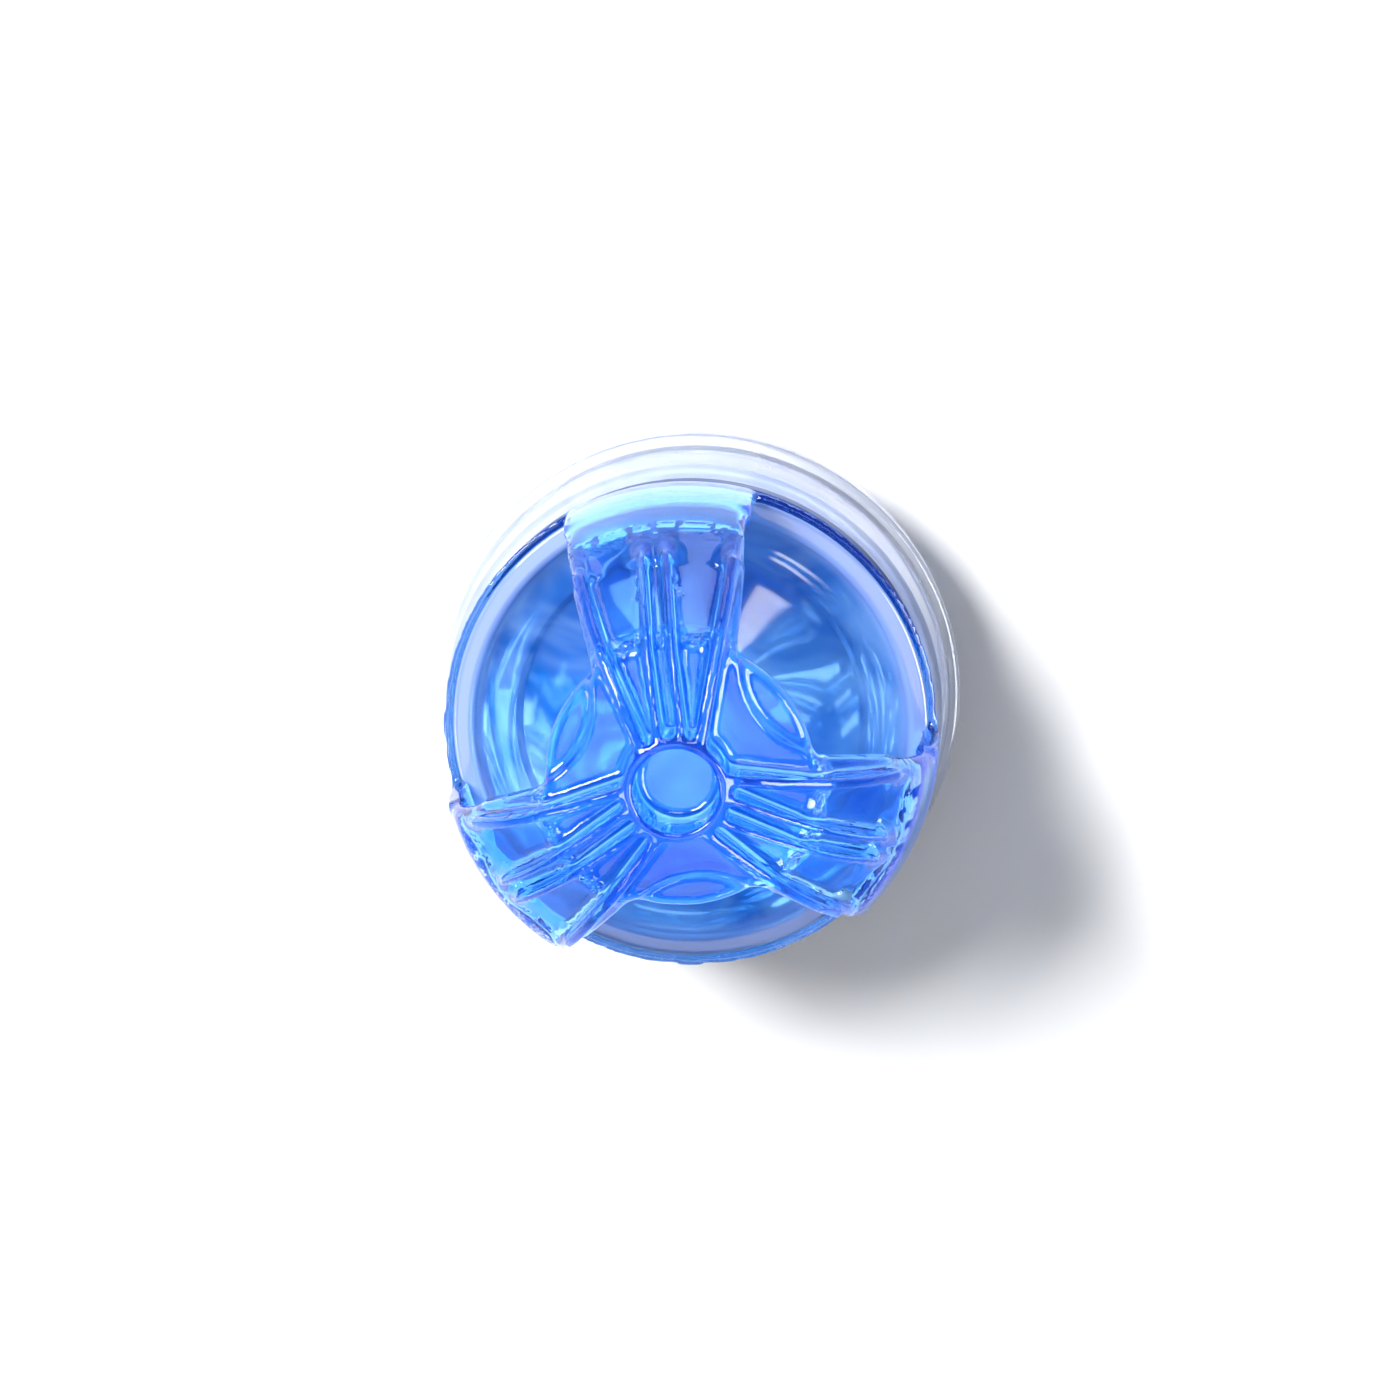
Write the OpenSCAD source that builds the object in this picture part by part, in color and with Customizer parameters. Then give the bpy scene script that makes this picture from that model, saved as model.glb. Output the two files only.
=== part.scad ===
// Squeeze ball of see-through gel: a low cup, two clamp rings, a bowl and a three-armed front cage.
// The ball stands on the cup's foot, with its open front facing up. Origin: middle of the foot.

/* [Clamp rings] */
// Outer radius of the rear ring, the widest part of the ball
ring_r = 35; // [33:0.5:42]
// Height of the rear ring
rear_ring_h = 3.8; // [3:0.2:6]
// Outer radius of the front ring at its foot
front_ring_r = 33.7; // [33:0.1:34.4]
// How far the front ring tapers in to its top
front_ring_taper = 1; // [0.2:0.1:1.6]
// Height of the front ring
front_ring_h = 9.8; // [7:0.2:12]
// Rise of the front ring's top face to its bore
front_ring_crown = 1.8; // [0.8:0.1:2.4]
// Width of the small chamfers on the rear ring's edges
ring_chamfer = 0.4; // [0.2:0.1:0.8]

/* [Rear cup] */
// Height of the cup, from its foot to the rear ring
cup_h = 12; // [10:0.5:20]
// Radius of the flat foot
foot_r = 18; // [14:0.5:22]
// Radius of the cup's neck and of the cage's foot, inside the rings
neck_r = 30.6; // [29:0.1:31.2]
// Wall of the cup
cup_wall = 2.4; // [1.8:0.1:3.5]

/* [Bowl] */
// Width of the bowl's lip, inside the cage's rim
lip_w = 3; // [2:0.1:4]
// Height of the lip over the edge of the bowl's funnel
lip_h = 1.6; // [1:0.1:2.4]
// Rise of the funnel for each millimetre out from the axis
funnel_rise = 0.4; // [0.3:0.02:0.45]
// Radius of the turned step in the funnel
step_r = 22; // [18:0.5:25]
// Height of the turned step
step_h = 0.8; // [0.4:0.1:1.2]
// Radius of the flat in the middle of the funnel
floor_r = 8; // [6:0.5:12]
// Wall of the bowl
bowl_wall = 1.3; // [0.8:0.1:1.8]

/* [Front cage] */
// Height of the cage's rim over the front ring's outer edge
rim_h = 9.6; // [8:0.2:12]
// Wall of the rim at its foot, and of the arms
cage_wall = 2.4; // [1.8:0.1:3]
// Wall of the rim at its top
rim_wall = 1.4; // [1:0.1:1.8]
// Radius of the dome at its widest
dome_r = 32.3; // [31.5:0.1:34]
// Height of the dome over its widest part
dome_h = 35.2; // [30:0.2:38]
// Fullness of the dome's outline, where 2 is an ellipse
dome_full = 2.4; // [2:0.1:3]
// Radius at which an arm's wall turns into its sunk panel
panel_r = 30; // [28:0.2:30.6]
// Width of an arm where it meets the hub's disc
arm_w_in = 18.8; // [16:0.2:20]
// Width of an arm at the dome's widest part
arm_w_out = 25.2; // [22:0.2:27]
// Turn of the first arm from the +Y axis
arm_turn = 7.3; // [0:0.1:15]

/* [Ribs] */
// Thickness of the two outer ribs on each arm
outer_rib_t = 1.4; // [1:0.1:2]
// Thickness of the two middle ribs on each arm
mid_rib_t = 0.9; // [0.6:0.1:1.2]
// Spacing of the outer ribs at the arm's shoulder
outer_rib_gap_out = 20.6; // [18:0.2:21]
// Spacing of the outer ribs at the hub
outer_rib_gap_in = 6; // [5.6:0.1:7]
// Spacing of the middle ribs
mid_rib_gap = 3; // [2.6:0.1:3.4]
// How deep the ribs are rooted in the panels
rib_root = 1; // [0.4:0.1:1.6]

/* [Hub] */
// Radius of the disc behind the hub
disc_r = 16.7; // [15:0.1:19]
// Thickness of the disc
disc_t = 3; // [2:0.1:4]
// Depth of the disc's face behind the dome's top, which is the hub tube's length
disc_depth = 8.3; // [7:0.1:10]
// Outer radius of the hub tube
hub_r = 6.5; // [5.8:0.1:7.5]
// Radius of the hub's bore
bore_r = 5.3; // [4:0.1:5.5]
// Thickness of the web on the disc
web_t = 1.3; // [1:0.1:2]
// Distance from the axis to the web between two arms
web_waist = 12.4; // [11:0.1:14]

/* [Fits] */
// Clearance between pieces that are bonded or pressed together
fit = 0.1; // [0.05:0.01:0.2]
// Clearance round the pieces that move with the hub
gap = 0.3; // [0.2:0.05:0.4]

/* [Hidden] */
$fn = 96;

// Heights, from the foot up
parting_z = cup_h + rear_ring_h;
ring_top_z = parting_z + front_ring_h;
crown_z = ring_top_z + front_ring_crown;
rim_top_z = ring_top_z + rim_h;
dome_top_z = rim_top_z + dome_h;
disc_top_z = dome_top_z - disc_depth;
web_top_z = disc_top_z + web_t;

// Radii inside the rings and the rim
ring_bore_r = neck_r + fit;
rim_in_r = neck_r - cage_wall;
rim_lip_r = dome_r - rim_wall;
lip_in_r = rim_lip_r - fit - lip_w;

// Places of the three arms
arm_angles = [90 + arm_turn, 210 + arm_turn, 330 + arm_turn];
arc_steps = 24;

// Height of the dome's outside at a distance r from the axis
function dome_z(r) = rim_top_z + dome_h * pow(1 - pow(r / dome_r, dome_full), 1 / dome_full);

// Outline of the dome shrunk by a wall, from its widest part up to a height z
function dome_arc(wall, z) =
    let (top = asin(pow((z - rim_top_z) / (dome_h - wall), dome_full / 2)))
    [for (i = [0 : arc_steps])
        let (t = top * i / arc_steps)
        [(dome_r - wall) * pow(cos(t), 2 / dome_full),
         rim_top_z + (dome_h - wall) * pow(sin(t), 2 / dome_full)]];

// Points of a quarter ellipse about (x, z), from angle a to angle b
function arc(x, z, rx, rz, a, b) =
    [for (i = [0 : arc_steps]) let (t = a + (b - a) * i / arc_steps) [x + rx * cos(t), z + rz * sin(t)]];

// A list turned end for end
function reversed(points) = [for (i = [len(points) - 1 : -1 : 0]) points[i]];

// Half the width of an arm at a distance s from the axis
function arm_half(s) = (arm_w_in + (arm_w_out - arm_w_in) * (s - disc_r) / (dome_r - disc_r)) / 2;

// Height of the sunk panel between the ribs, and of the web inside it
function panel_z(r) =
    r < disc_r ? web_top_z
               : web_top_z + (dome_z(panel_r) - web_top_z) * (r - disc_r) / (panel_r - disc_r);

// Height of the bowl's funnel outside its step
function funnel_z(r) = rim_top_z - lip_h - (lip_in_r - r) * funnel_rise;

// Half outline of the cup, rounded up from the foot and inset by a wall
module cup_outline(wall, top) {
    side = neck_r - wall;
    foot = foot_r - wall / 2;
    polygon(concat([[0, wall]],
                   arc(foot, cup_h, side - foot, cup_h - wall, 270, 360),
                   [[side, top], [0, top]]));
}

// Half outline of the bowl's hollow: a flat, a funnel with a turned step, and the lip's inside
module bowl_hollow() {
    polygon([[0, funnel_z(floor_r) - step_h], [floor_r, funnel_z(floor_r) - step_h],
             [step_r, funnel_z(step_r) - step_h], [step_r + step_h, funnel_z(step_r + step_h)],
             [lip_in_r, funnel_z(lip_in_r)], [lip_in_r, rim_top_z + 1], [0, rim_top_z + 1]]);
}

// Half outline of all that the bowl takes up, a wall below its funnel
module bowl_outline(wall) {
    under = step_h + wall;
    polygon([[0, funnel_z(floor_r) - under], [floor_r, funnel_z(floor_r) - under],
             [ring_r, funnel_z(ring_r) - under], [ring_r, rim_top_z + 1], [0, rim_top_z + 1]]);
}

// Low cup behind the rings, open at the top
module rear_cup() {
    color([0.35, 0.62, 0.92, 0.7])
        difference() {
            rotate_extrude()
                cup_outline(0, parting_z - fit);
            rotate_extrude()
                cup_outline(cup_wall, parting_z + 1);
        }
}

// Gel that fills the cup and backs the bowl
module gel_core() {
    color([0.1, 0.45, 0.85, 0.8])
        difference() {
            union() {
                rotate_extrude()
                    cup_outline(cup_wall + fit, parting_z);
                translate([0, 0, parting_z])
                    cylinder(r = min(rim_in_r, neck_r - cup_wall) - fit, h = rim_top_z - parting_z);
            }
            rotate_extrude()
                bowl_outline(bowl_wall + fit);
        }
}

// Clear ring round the cup's neck
module rear_ring() {
    color([0.85, 0.88, 0.93, 0.6])
        translate([0, 0, cup_h])
            rotate_extrude()
                polygon([[ring_bore_r, 0], [ring_r - ring_chamfer, 0], [ring_r, ring_chamfer],
                         [ring_r, rear_ring_h - ring_chamfer], [ring_r - ring_chamfer, rear_ring_h],
                         [ring_bore_r, rear_ring_h]]);
}

// Pale tapered ring round the foot of the cage
module front_ring() {
    color([0.76, 0.84, 0.96, 0.6])
        rotate_extrude()
            polygon([[ring_bore_r, parting_z], [front_ring_r, parting_z],
                     [front_ring_r - front_ring_taper, ring_top_z], [ring_bore_r, crown_z]]);
}

// Shallow funnel of a bowl inside the cage, with a turned step and a broad lip
module bowl() {
    color([0.6, 0.78, 0.97, 0.7])
        difference() {
            intersection() {
                rotate_extrude()
                    bowl_outline(bowl_wall);
                rim_bore(rim_in_r - fit, rim_lip_r - fit);
            }
            rotate_extrude()
                bowl_hollow();
        }
}

// Inside of the cage's rim: straight, then flared out to the lip
module rim_bore(r, lip_r) {
    rotate_extrude()
        polygon([[0, 0], [r, 0], [r, crown_z], [lip_r, rim_top_z], [0, rim_top_z]]);
}

// Rim of the cage, held in the front ring and flared up to the dome
module cage_rim() {
    color([0.3, 0.58, 0.93, 0.7])
        rotate_extrude()
            polygon(concat([[rim_in_r, parting_z], [neck_r, parting_z]],
                           arc(dome_r, crown_z, dome_r - neck_r, rim_top_z - crown_z, 180, 90),
                           [[rim_lip_r, rim_top_z], [rim_in_r, crown_z]]));
}

// Shell of revolution from which the arms are cut: the dome's wall and the sunk panel
module arm_shell() {
    turn_z = dome_z(panel_r);
    in_r = disc_r + gap / 2;
    rotate_extrude()
        polygon(concat(dome_arc(0, turn_z),
                       [[in_r, panel_z(in_r)], [in_r, panel_z(in_r) - 1.25 * cage_wall]],
                       reversed(dome_arc(cage_wall, turn_z - 0.8 * cage_wall))));
}

// Upright rib from (s0, w0) to (s1, w1), seen from above, rooted in the panel and as high as the dome
module rib(s0, w0, s1, w1, thickness) {
    run = norm([s1 - s0, w1 - w0]);
    stations = [for (i = [0 : arc_steps]) run * i / arc_steps];
    function radius(u) = norm([s0 + (s1 - s0) * u / run, w0 + (w1 - w0) * u / run]);
    translate([s0, w0, 0])
        rotate([0, 0, atan2(w1 - w0, s1 - s0)])
            rotate([90, 0, 0])
                translate([0, 0, -thickness / 2])
                    linear_extrude(height = thickness)
                        polygon(concat([for (u = stations) [u, panel_z(radius(u)) - rib_root]],
                                       [for (u = reversed(stations)) [u, dome_z(radius(u))]]));
}

// Two outer and two middle ribs of an arm that points along +X
module ribs() {
    outer_in = outer_rib_gap_in / 2;
    outer_out = outer_rib_gap_out / 2;
    toe_r = panel_r - outer_rib_t / 2;
    toe_s = sqrt(toe_r * toe_r - outer_out * outer_out);
    for (side = [-1, 1]) {
        rib(hub_r / 2, side * outer_in, toe_s, side * outer_out, outer_rib_t);
        rib(hub_r / 2, side * mid_rib_gap / 2, panel_r - outer_rib_t, side * mid_rib_gap / 2, mid_rib_t);
    }
}

// One arm with its ribs, at an angle round the axis, cut clear of the disc, the web and the hub tube
module arm(angle) {
    color([0.22, 0.52, 0.92, 0.7])
        rotate([0, 0, angle])
            difference() {
                union() {
                    intersection() {
                        arm_shell();
                        linear_extrude(height = dome_top_z)
                            polygon([[0, -arm_half(0)], [ring_r, -arm_half(ring_r)],
                                     [ring_r, arm_half(ring_r)], [0, arm_half(0)]]);
                    }
                    ribs();
                }
                cylinder(r = disc_r + gap, h = web_top_z + fit);
                cylinder(r = hub_r + gap, h = dome_top_z + 1);
            }
}

// Disc behind the hub, in plain view through the windows
module hub_disc() {
    color([0.08, 0.4, 0.85, 0.8])
        translate([0, 0, disc_top_z - disc_t])
            cylinder(r = disc_r, h = disc_t);
}

// Web on the disc, hollowed between the arms, with a seat for the hub tube
module hub_web() {
    tip = 60 - asin(arm_w_in / 2 / disc_r);
    hollow_s = (disc_r * disc_r - web_waist * web_waist) / (2 * (disc_r * cos(tip) - web_waist));
    color([0.12, 0.45, 0.88, 0.8])
        translate([0, 0, disc_top_z])
            difference() {
                cylinder(r = disc_r, h = web_t);
                translate([0, 0, -1])
                    cylinder(r = hub_r + fit, h = web_t + 2);
                for (angle = arm_angles)
                    rotate([0, 0, angle + 60])
                        translate([hollow_s, 0, -1])
                            cylinder(r = hollow_s - web_waist, h = web_t + 2);
            }
}

// Short open tube in the middle of the front
module hub_tube() {
    color([0.65, 0.82, 0.98, 0.7])
        translate([0, 0, disc_top_z])
            difference() {
                cylinder(r = hub_r, h = disc_depth);
                translate([0, 0, -1])
                    cylinder(r = bore_r, h = disc_depth + 2);
            }
}

rear_cup();
gel_core();
rear_ring();
front_ring();
bowl();
cage_rim();
arm(arm_angles[0]);  // arm_top
arm(arm_angles[1]);  // arm_left
arm(arm_angles[2]);  // arm_right
hub_disc();
hub_web();
hub_tube();
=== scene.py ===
import math

import bpy
from mathutils import Matrix, Vector


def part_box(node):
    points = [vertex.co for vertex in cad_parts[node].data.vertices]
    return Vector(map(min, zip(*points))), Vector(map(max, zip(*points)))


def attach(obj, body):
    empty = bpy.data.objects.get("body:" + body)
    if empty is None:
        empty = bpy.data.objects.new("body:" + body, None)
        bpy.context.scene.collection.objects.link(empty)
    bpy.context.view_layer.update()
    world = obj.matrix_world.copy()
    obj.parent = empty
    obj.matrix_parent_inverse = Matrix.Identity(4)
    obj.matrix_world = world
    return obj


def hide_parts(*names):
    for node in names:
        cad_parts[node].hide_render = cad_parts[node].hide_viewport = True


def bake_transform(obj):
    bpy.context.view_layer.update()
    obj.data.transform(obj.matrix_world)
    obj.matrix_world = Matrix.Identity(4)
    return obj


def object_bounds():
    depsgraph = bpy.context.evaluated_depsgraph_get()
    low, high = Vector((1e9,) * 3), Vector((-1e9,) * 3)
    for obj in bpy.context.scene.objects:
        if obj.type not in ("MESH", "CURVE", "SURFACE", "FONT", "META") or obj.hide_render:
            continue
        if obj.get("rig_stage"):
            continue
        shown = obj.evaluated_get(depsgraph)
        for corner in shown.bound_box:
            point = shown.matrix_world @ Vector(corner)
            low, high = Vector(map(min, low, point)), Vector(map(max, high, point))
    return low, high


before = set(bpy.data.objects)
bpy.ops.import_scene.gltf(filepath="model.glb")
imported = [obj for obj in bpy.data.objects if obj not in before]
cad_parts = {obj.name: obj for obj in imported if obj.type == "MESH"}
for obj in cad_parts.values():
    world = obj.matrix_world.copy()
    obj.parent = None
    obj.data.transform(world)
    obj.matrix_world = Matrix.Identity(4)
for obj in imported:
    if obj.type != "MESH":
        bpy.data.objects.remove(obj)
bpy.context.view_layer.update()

bpy.ops.object.select_all(action="DESELECT")
MM = 0.001


# ---- Gel body -------------------------------------------------------------------------------
# The soft back of the ball: a cup of blue gel elastomer, filled with deep blue gel that rises
# through the rings and takes the bowl. It is cast in one go, so no joint shows in it.

def turned(name, section, ring=False):
    """Turns half a section, as (radius, height) pairs in metres, out of one extruded circle."""
    radius, height = section[0]
    bpy.ops.object.select_all(action="DESELECT")
    bpy.ops.mesh.primitive_circle_add(vertices=160, radius=radius, location=(0, 0, height))
    piece = bpy.context.active_object
    piece.name = piece.data.name = name
    bpy.ops.object.mode_set(mode="EDIT")
    bpy.ops.mesh.select_all(action="SELECT")
    for next_radius, next_height in section[1:]:
        bpy.ops.mesh.extrude_region_move(
            TRANSFORM_OT_translate={"value": (0, 0, next_height - height)})
        scale = next_radius / radius
        bpy.ops.transform.resize(value=(scale, scale, 1), center_override=(0, 0, next_height))
        radius, height = next_radius, next_height
    if ring:
        bpy.ops.mesh.select_all(action="DESELECT")
        bpy.ops.mesh.select_non_manifold()
        bpy.ops.mesh.bridge_edge_loops()
    else:
        bpy.ops.mesh.edge_face_add()
        bpy.ops.mesh.select_all(action="DESELECT")
        bpy.ops.mesh.select_non_manifold()
        bpy.ops.mesh.edge_face_add()
    bpy.ops.mesh.select_all(action="SELECT")
    bpy.ops.mesh.remove_doubles(threshold=1e-7)
    bpy.ops.mesh.normals_make_consistent(inside=False)
    bpy.ops.object.mode_set(mode="OBJECT")
    bpy.ops.object.transform_apply(location=True, rotation=True, scale=True)
    bpy.ops.object.shade_smooth_by_angle(angle=math.radians(35))
    return piece


def arc(radius, height, wide, high, start, end, steps):
    """Points on a quarter ellipse about (radius, height), between two angles in degrees."""
    turns = [math.radians(start + (end - start) * i / steps) for i in range(steps + 1)]
    return [(radius + wide * math.cos(t), height + high * math.sin(t)) for t in turns]


rim_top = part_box("cage_rim")[1].z
ring_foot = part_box("rear_ring")[0].z
cup_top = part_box("rear_cup")[1].z
neck_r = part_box("rear_cup")[1].x
bowl_lip_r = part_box("bowl")[1].x
foot_r = 18 * MM
foot_round = 1.2 * MM
inner_r = neck_r - 2.5 * MM
edge = 0.5 * MM
pole_r = 1 * MM
lip_wide = 3 * MM
lip_high = 1.6 * MM
funnel_rise = 0.4
floor_r = 8 * MM


def cone_z(radius):
    """Height of the bowl's shallow funnel at a distance from the axis."""
    return rim_top - lip_high - (bowl_lip_r - lip_wide - radius) * funnel_rise


gel_body = turned(
    "gel_body",
    [(pole_r, 0), (foot_r * 0.6, 0)]
    + arc(foot_r - foot_round, ring_foot, neck_r - foot_r + foot_round, ring_foot, 270, 360, 28)
    + [(neck_r, cup_top - edge), (neck_r - edge, cup_top), (inner_r + edge, cup_top),
       (inner_r, cup_top + edge)]
    + [(inner_r, cone_z(inner_r) - 2.5 * MM),
       (inner_r - edge, cone_z(inner_r - edge) - 2.25 * MM),
       (floor_r, cone_z(floor_r) - 2.2 * MM), (pole_r, cone_z(floor_r) - 2.3 * MM)],
)
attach(gel_body, "shell")
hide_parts("rear_cup", "gel_core")


def gel_marks():
    """Shader group of what a moulded gel shows: clouds in the dye, a handled skin and fine ripples."""
    group = bpy.data.node_groups.new("gel marks", "ShaderNodeTree")
    sockets = group.interface
    for label in ("Cloud size", "Skin size", "Gloss", "Haze"):
        sockets.new_socket(label, in_out="INPUT", socket_type="NodeSocketFloat")
    for label in ("Cloud", "Roughness", "Height"):
        sockets.new_socket(label, in_out="OUTPUT", socket_type="NodeSocketFloat")
    make, link = group.nodes.new, group.links.new
    given, given_out = make("NodeGroupInput"), make("NodeGroupOutput")
    place = make("ShaderNodeTexCoord").outputs["Object"]

    cloud = make("ShaderNodeTexNoise")
    cloud.inputs["Detail"].default_value = 3
    cloud.inputs["Distortion"].default_value = 0.8
    link(place, cloud.inputs["Vector"])
    link(given.outputs["Cloud size"], cloud.inputs["Scale"])
    spread = make("ShaderNodeMapRange")
    spread.interpolation_type = "SMOOTHSTEP"
    spread.inputs["From Min"].default_value = 0.35
    spread.inputs["From Max"].default_value = 0.65
    link(cloud.outputs["Fac"], spread.inputs["Value"])
    link(spread.outputs["Result"], given_out.inputs["Cloud"])

    skin = make("ShaderNodeTexNoise")
    skin.inputs["Detail"].default_value = 4
    link(place, skin.inputs["Vector"])
    link(given.outputs["Skin size"], skin.inputs["Scale"])
    smear = make("ShaderNodeMath")
    smear.operation = "MULTIPLY"
    link(spread.outputs["Result"], smear.inputs[0])
    link(given.outputs["Haze"], smear.inputs[1])
    rough = make("ShaderNodeMath")
    rough.operation = "ADD"
    link(given.outputs["Gloss"], rough.inputs[0])
    link(smear.outputs["Value"], rough.inputs[1])
    link(rough.outputs["Value"], given_out.inputs["Roughness"])

    ripple = make("ShaderNodeTexNoise")
    ripple.inputs["Scale"].default_value = 140
    ripple.inputs["Detail"].default_value = 1
    link(place, ripple.inputs["Vector"])
    height = make("ShaderNodeMath")
    height.operation = "MULTIPLY_ADD"
    height.inputs[1].default_value = 0.04
    link(skin.outputs["Fac"], height.inputs[0])
    link(ripple.outputs["Fac"], height.inputs[2])
    link(height.outputs["Value"], given_out.inputs["Height"])
    return group


marks = gel_marks()


def gel(name, pale, deep, clear, ior, depth_colour, density, sizes, bump, painted_glow=0):
    """See-through elastomer: its skin's two tints, how clear it is, the dye that deepens with
    thickness, and a painted glow: blue emission standing in for light the gel scatters inside."""
    material = bpy.data.materials.new(name)
    material.use_nodes = True
    tree = material.node_tree
    skin = tree.nodes["Principled BSDF"]
    skin.inputs["Metallic"].default_value = 0
    skin.inputs["Transmission Weight"].default_value = clear
    skin.inputs["IOR"].default_value = ior
    # Painted light: a weak blue emission makes the gel glow though it is no lamp.
    if painted_glow:
        skin.inputs["Emission Color"].default_value = (0.01, 0.17, 0.68, 1)
        skin.inputs["Emission Strength"].default_value = painted_glow
    mark = tree.nodes.new("ShaderNodeGroup")
    mark.node_tree = marks
    for label, value in zip(("Cloud size", "Skin size", "Gloss", "Haze"), sizes):
        mark.inputs[label].default_value = value
    tint = tree.nodes.new("ShaderNodeMix")
    tint.data_type = "RGBA"
    tint.inputs["A"].default_value = (*pale, 1)
    tint.inputs["B"].default_value = (*deep, 1)
    tree.links.new(mark.outputs["Cloud"], tint.inputs["Factor"])
    tree.links.new(tint.outputs["Result"], skin.inputs["Base Color"])
    tree.links.new(mark.outputs["Roughness"], skin.inputs["Roughness"])
    ripples = tree.nodes.new("ShaderNodeBump")
    ripples.inputs["Strength"].default_value = 1
    ripples.inputs["Distance"].default_value = bump
    tree.links.new(mark.outputs["Height"], ripples.inputs["Height"])
    tree.links.new(ripples.outputs["Normal"], skin.inputs["Normal"])
    dye = tree.nodes.new("ShaderNodeVolumeAbsorption")
    dye.inputs["Color"].default_value = (*depth_colour, 1)
    dye.inputs["Density"].default_value = density
    tree.links.new(dye.outputs["Volume"], tree.nodes["Material Output"].inputs["Volume"])
    return material


gel_body.data.materials.append(gel(
    "deep blue gel", (0.03, 0.20, 0.60), (0.0, 0.12, 0.48), 0.3, 1.45,
    (0.12, 0.5, 0.95), 30, (45, 900, 0.03, 0.04), 0.25 * MM))


# ---- Bowl -----------------------------------------------------------------------------------
# Thin liner of paler gel, bonded on the deep gel. It runs from a rounded lip inside the cage's
# rim down a shallow funnel with a turned step, and it shines through the cage's windows.

lip_in = bowl_lip_r - lip_wide
lip_round = 1.2 * MM
lip_top = rim_top - 0.2 * MM
step_r = 22 * MM
step_high = 0.8 * MM
liner_wall = 1.3 * MM
floor_z = cone_z(floor_r) - step_high
bowl = turned(
    "bowl_liner",
    [(pole_r, floor_z - liner_wall), (floor_r, floor_z - liner_wall),
     (bowl_lip_r, cone_z(bowl_lip_r) - step_high - liner_wall)]
    + arc(bowl_lip_r - edge, lip_top - edge, edge, edge, 0, 90, 5)
    + arc(lip_in + lip_round, lip_top - lip_round, lip_round, lip_round, 90, 165, 6)
    + [(radius, cone_z(radius)) for radius in (27 * MM, 24.5 * MM, step_r + 1 * MM)]
    + [(step_r + 0.7 * MM, cone_z(step_r) + 0.18 * MM),
       (step_r + 0.2 * MM, cone_z(step_r) - 0.62 * MM)]
    + [(radius, cone_z(radius) - step_high)
       for radius in (step_r - 0.1 * MM, 18 * MM, 12 * MM, floor_r)]
    + [(floor_r - 1 * MM, floor_z - 0.2 * MM), (pole_r, floor_z - 0.2 * MM)],
)
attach(bowl, "shell")
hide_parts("bowl")
liner = gel(
    "pale gel", (0.14, 0.27, 0.52), (0.0, 0.085, 0.36), 0.15, 1.5,
    (0.25, 0.62, 0.98), 120, (60, 900, 0.05, 0.03), 0.015 * MM)
bowl.data.materials.append(liner)

# Painted light: the lip's colour is painted paler than the funnel, for the light that the thin lip
# lets in from the side.
place = liner.node_tree.nodes.new("ShaderNodeTexCoord")
flat = liner.node_tree.nodes.new("ShaderNodeVectorMath")
flat.operation = "MULTIPLY"
flat.inputs[1].default_value = (1, 1, 0)
reach = liner.node_tree.nodes.new("ShaderNodeVectorMath")
reach.operation = "LENGTH"
near_lip = liner.node_tree.nodes.new("ShaderNodeMapRange")
near_lip.interpolation_type = "SMOOTHSTEP"
near_lip.inputs["From Min"].default_value = lip_in - 1.2 * MM
near_lip.inputs["From Max"].default_value = lip_in + 0.8 * MM
# Painted light: the paler lip colour, blended in by distance from the axis.
lip_painted_light = liner.node_tree.nodes.new("ShaderNodeMix")
lip_painted_light.data_type = "RGBA"
lip_painted_light.inputs["B"].default_value = (0.20, 0.27, 0.52, 1)
dyed = liner.node_tree.nodes["Principled BSDF"].inputs["Base Color"]
join = liner.node_tree.links.new
join(place.outputs["Object"], flat.inputs[0])
join(flat.outputs["Vector"], reach.inputs[0])
join(reach.outputs["Value"], near_lip.inputs["Value"])
join(near_lip.outputs["Result"], lip_painted_light.inputs["Factor"])
join(dyed.links[0].from_socket, lip_painted_light.inputs["A"])
join(lip_painted_light.outputs["Result"], dyed)


# ---- Rear ring ------------------------------------------------------------------------------
# Colourless elastomer ring, pressed over the cup's neck. It is the widest part of the ball, and
# its edges are only just broken.

low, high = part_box("rear_ring")
ring_r = high.x
ring_round = 0.7 * MM
bore_r = neck_r + 0.1 * MM
rear_ring = turned(
    "clear_rear_ring",
    [(bore_r, low.z + edge), (bore_r + edge, low.z)]
    + arc(ring_r - ring_round, low.z + ring_round, ring_round, ring_round, 270, 360, 6)
    + arc(ring_r - ring_round, high.z - ring_round, ring_round, ring_round, 0, 90, 6)
    + [(bore_r + edge, high.z), (bore_r, high.z - edge)],
    ring=True,
)
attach(rear_ring, "shell")
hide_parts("rear_ring")
rear_ring.data.materials.append(gel(
    "clear elastomer", (0.74, 0.77, 0.84), (0.66, 0.70, 0.79), 0.75, 1.4,
    (0.7, 0.8, 0.95), 12, (80, 1100, 0.06, 0.10), 0.12 * MM))


# ---- Front ring -----------------------------------------------------------------------------
# Taller ring of clear elastomer with a breath of blue, slipped over the cage's foot. Its outside
# tapers to the front, and its top face climbs to the cage in a bright step.

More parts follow.
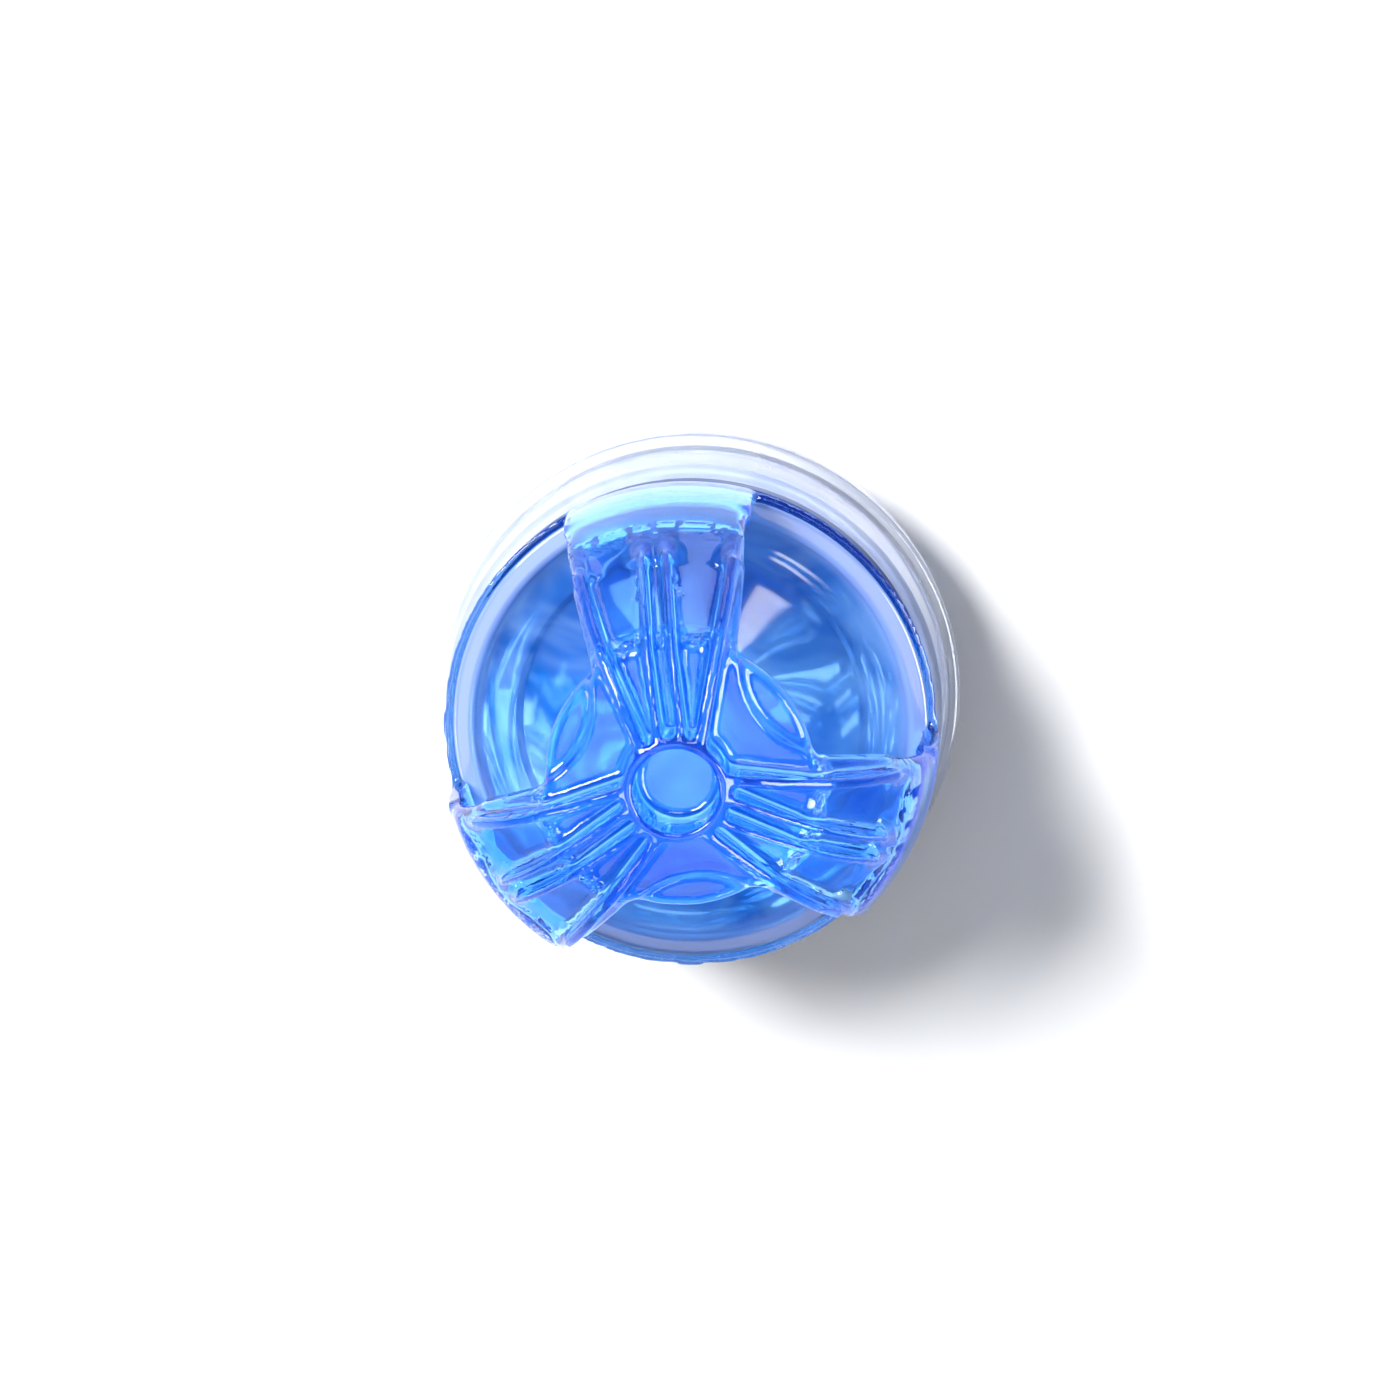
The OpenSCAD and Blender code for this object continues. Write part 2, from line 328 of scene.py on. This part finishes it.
low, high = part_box("front_ring")
foot_out = high.x
top_out = foot_out - 1 * MM
shelf = high.z - 1.8 * MM
front_ring = turned(
    "pale_front_ring",
    [(bore_r, low.z + edge), (bore_r + edge, low.z),
     (foot_out - edge, low.z), (foot_out, low.z + edge)]
    + arc(top_out - edge, shelf - edge, edge, edge, 0, 60, 5)
    + [(bore_r + edge, high.z - 0.2 * MM), (bore_r, high.z - edge)],
    ring=True,
)
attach(front_ring, "shell")
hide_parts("front_ring")
front_ring.data.materials.append(gel(
    "pale elastomer", (0.72, 0.80, 1.0), (0.58, 0.68, 0.95), 0.65, 1.4,
    (0.55, 0.72, 0.97), 25, (70, 1000, 0.06, 0.08), 0.15 * MM))


# ---- Front cage -----------------------------------------------------------------------------
# One moulding of blue gel: the flared rim, three ribbed arms, and the disc, web and short tube
# they carry. It is grown from the parts' own solids, closed where they meet and softened as
# moulded edges are. Pushing in the hub bends the arms.

cage_parts = ["cage_rim", "arm_top", "arm_left", "arm_right", "hub_disc", "hub_web", "hub_tube"]
copies = []
for part in cage_parts:
    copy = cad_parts[part].copy()
    copy.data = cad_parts[part].data.copy()
    for key in [k for k in copy.keys() if k.startswith("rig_")]:
        del copy[key]
    copy.parent = None
    copy.matrix_world = Matrix.Identity(4)
    bpy.context.scene.collection.objects.link(copy)
    copies.append(copy)
bpy.ops.object.select_all(action="DESELECT")
for copy in copies:
    copy.select_set(True)
bpy.context.view_layer.objects.active = copies[0]
bpy.ops.object.join()
cage = bpy.context.active_object
cage.name = cage.data.name = "front_cage"
cage.data.materials.clear()
bpy.ops.object.mode_set(mode="EDIT")
bpy.ops.mesh.select_all(action="SELECT")
bpy.ops.mesh.remove_doubles(threshold=1e-6)
bpy.ops.object.mode_set(mode="OBJECT")


def finished(piece, kind, **settings):
    """Adds a modifier with those settings and applies it."""
    bpy.context.view_layer.objects.active = piece
    modifier = piece.modifiers.new(kind.lower(), kind)
    for key, value in settings.items():
        setattr(modifier, key, value)
    bpy.ops.object.modifier_apply(modifier=modifier.name)


def regrown(piece, quad):
    """Remakes the piece's skin out of even quads of that size, which also joins what touches."""
    piece.data.remesh_voxel_size = quad
    piece.data.remesh_voxel_adaptivity = 0
    bpy.context.view_layer.objects.active = piece
    bpy.ops.object.voxel_remesh()


fine_skin = 0.3 * MM
even_skin = 0.5 * MM
swell = 0.2 * MM
regrown(cage, fine_skin)
finished(cage, "DISPLACE", strength=swell, mid_level=0)
regrown(cage, fine_skin)
finished(cage, "DISPLACE", strength=-swell * 0.8, mid_level=0)
finished(cage, "SMOOTH", factor=0.5, iterations=12)


def eased(piece, nearest, farthest, lowest, highest, passes):
    """Smooths only what lies between two distances from the axis and two heights."""
    bpy.ops.object.mode_set(mode="EDIT")
    bpy.ops.mesh.select_mode(type="VERT")
    bpy.ops.mesh.select_all(action="DESELECT")
    bpy.ops.object.mode_set(mode="OBJECT")
    for vertex in piece.data.vertices:
        x, y, z = vertex.co
        vertex.select = nearest < math.hypot(x, y) < farthest and lowest < z < highest
    bpy.ops.object.mode_set(mode="EDIT")
    bpy.ops.mesh.vertices_smooth(factor=0.5, repeat=passes)
    bpy.ops.object.mode_set(mode="OBJECT")


shoulder_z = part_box("arm_top")[1].z - 19 * MM
hub_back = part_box("hub_disc")[0].z
web_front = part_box("hub_web")[1].z
regrown(cage, even_skin)
finished(cage, "SMOOTH", factor=0.5, iterations=5)
eased(cage, 25.5 * MM, 33 * MM, shoulder_z - 6 * MM, shoulder_z + 6 * MM, 50)
eased(cage, 15.6 * MM, 18.8 * MM, hub_back - 1 * MM, web_front + 0.6 * MM, 8)
bpy.ops.object.shade_smooth()
# The cage carries the painted glow: a weak blue emission, as if the gel were lit from inside.
cage.data.materials.append(gel(
    "blue gel", (0.52, 0.82, 1.0), (0.34, 0.72, 1.0), 1.0, 1.36,
    (0.03, 0.50, 0.93), 160, (55, 900, 0.03, 0.04), 0.05 * MM, painted_glow=0.07))
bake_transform(cage)
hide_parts(*cage_parts)


# ---- Floor ----------------------------------------------------------------------------------
# A plain white sheet, wide enough to fill every view.

bpy.ops.object.select_all(action="DESELECT")
bpy.ops.mesh.primitive_plane_add(size=6, location=(0, 0, 0))
floor = bpy.context.active_object
floor.name = "floor"
white = bpy.data.materials.new("white sheet")
white.use_nodes = True
white.node_tree.nodes["Principled BSDF"].inputs["Base Color"].default_value = (0.86, 0.86, 0.86, 1)
white.node_tree.nodes["Principled BSDF"].inputs["Roughness"].default_value = 0.9
floor.data.materials.append(white)
floor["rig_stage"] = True


# ---- Light ----------------------------------------------------------------------------------
# One broad softbox high on the left, in a white room. The cards only give the gel something
# bright to mirror, as reflector boards round a table do.

def softbox(name, azimuth, elevation, size, radiance, card=False):
    """A square area light aimed at the ball. A card lights no matt surface, it is only mirrored."""
    aim = Vector((0, 0, 0.035))
    way = Vector((math.cos(math.radians(azimuth)) * math.cos(math.radians(elevation)),
                  math.sin(math.radians(azimuth)) * math.cos(math.radians(elevation)),
                  math.sin(math.radians(elevation))))
    data = bpy.data.lights.new(name, "AREA")
    data.size = size
    data.energy = math.pi * size * size * radiance
    lamp = bpy.data.objects.new(name, data)
    bpy.context.scene.collection.objects.link(lamp)
    lamp.location = aim + way * 0.8
    lamp.rotation_mode = "QUATERNION"
    lamp.rotation_quaternion = way.to_track_quat("Z", "Y")
    lamp.visible_diffuse = not card
    return lamp


softbox("key", 138, 50, 0.3, 54)
softbox("card_right", -4, 46, 0.5, 24, card=True)
softbox("card_left", 205, 40, 0.24, 18, card=True)
softbox("card_front_left", 241, 36, 0.17, 10, card=True)
softbox("card_front", 285, 36, 0.14, 12, card=True)
softbox("card_back", 88, 50, 0.26, 12, card=True)
softbox("card_low", 90, 14, 0.4, 4, card=True)
softbox("card_over", 258, 77, 0.34, 3, card=True)
room = bpy.data.worlds.new("room")
bpy.context.scene.world = room
room.use_nodes = True
room.node_tree.nodes["Background"].inputs["Color"].default_value = (1, 1, 1, 1)
room.node_tree.nodes["Background"].inputs["Strength"].default_value = 0.36


# ---- Camera ---------------------------------------------------------------------------------
# Nearly over the ball's open front, leaning towards the first arm.

camera_data = bpy.data.cameras.new("camera")
camera_data.lens = 114.9
camera_data.sensor_width = 36
camera = bpy.data.objects.new("camera", camera_data)
bpy.context.scene.collection.objects.link(camera)
back = Vector((0.04677, 0.22004, 0.97437)).normalized()
up = Vector((-0.01055, 0.97549, -0.21979)).normalized()
right = up.cross(back).normalized()
turn = Matrix((right, back.cross(right), back)).transposed()
camera.rotation_mode = "QUATERNION"
camera.rotation_quaternion = turn.to_quaternion()
camera.location = (0.02825, 0.13043, 0.59697)
bpy.context.scene.camera = camera
bpy.context.scene.view_settings.view_transform = "Standard"

low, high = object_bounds()
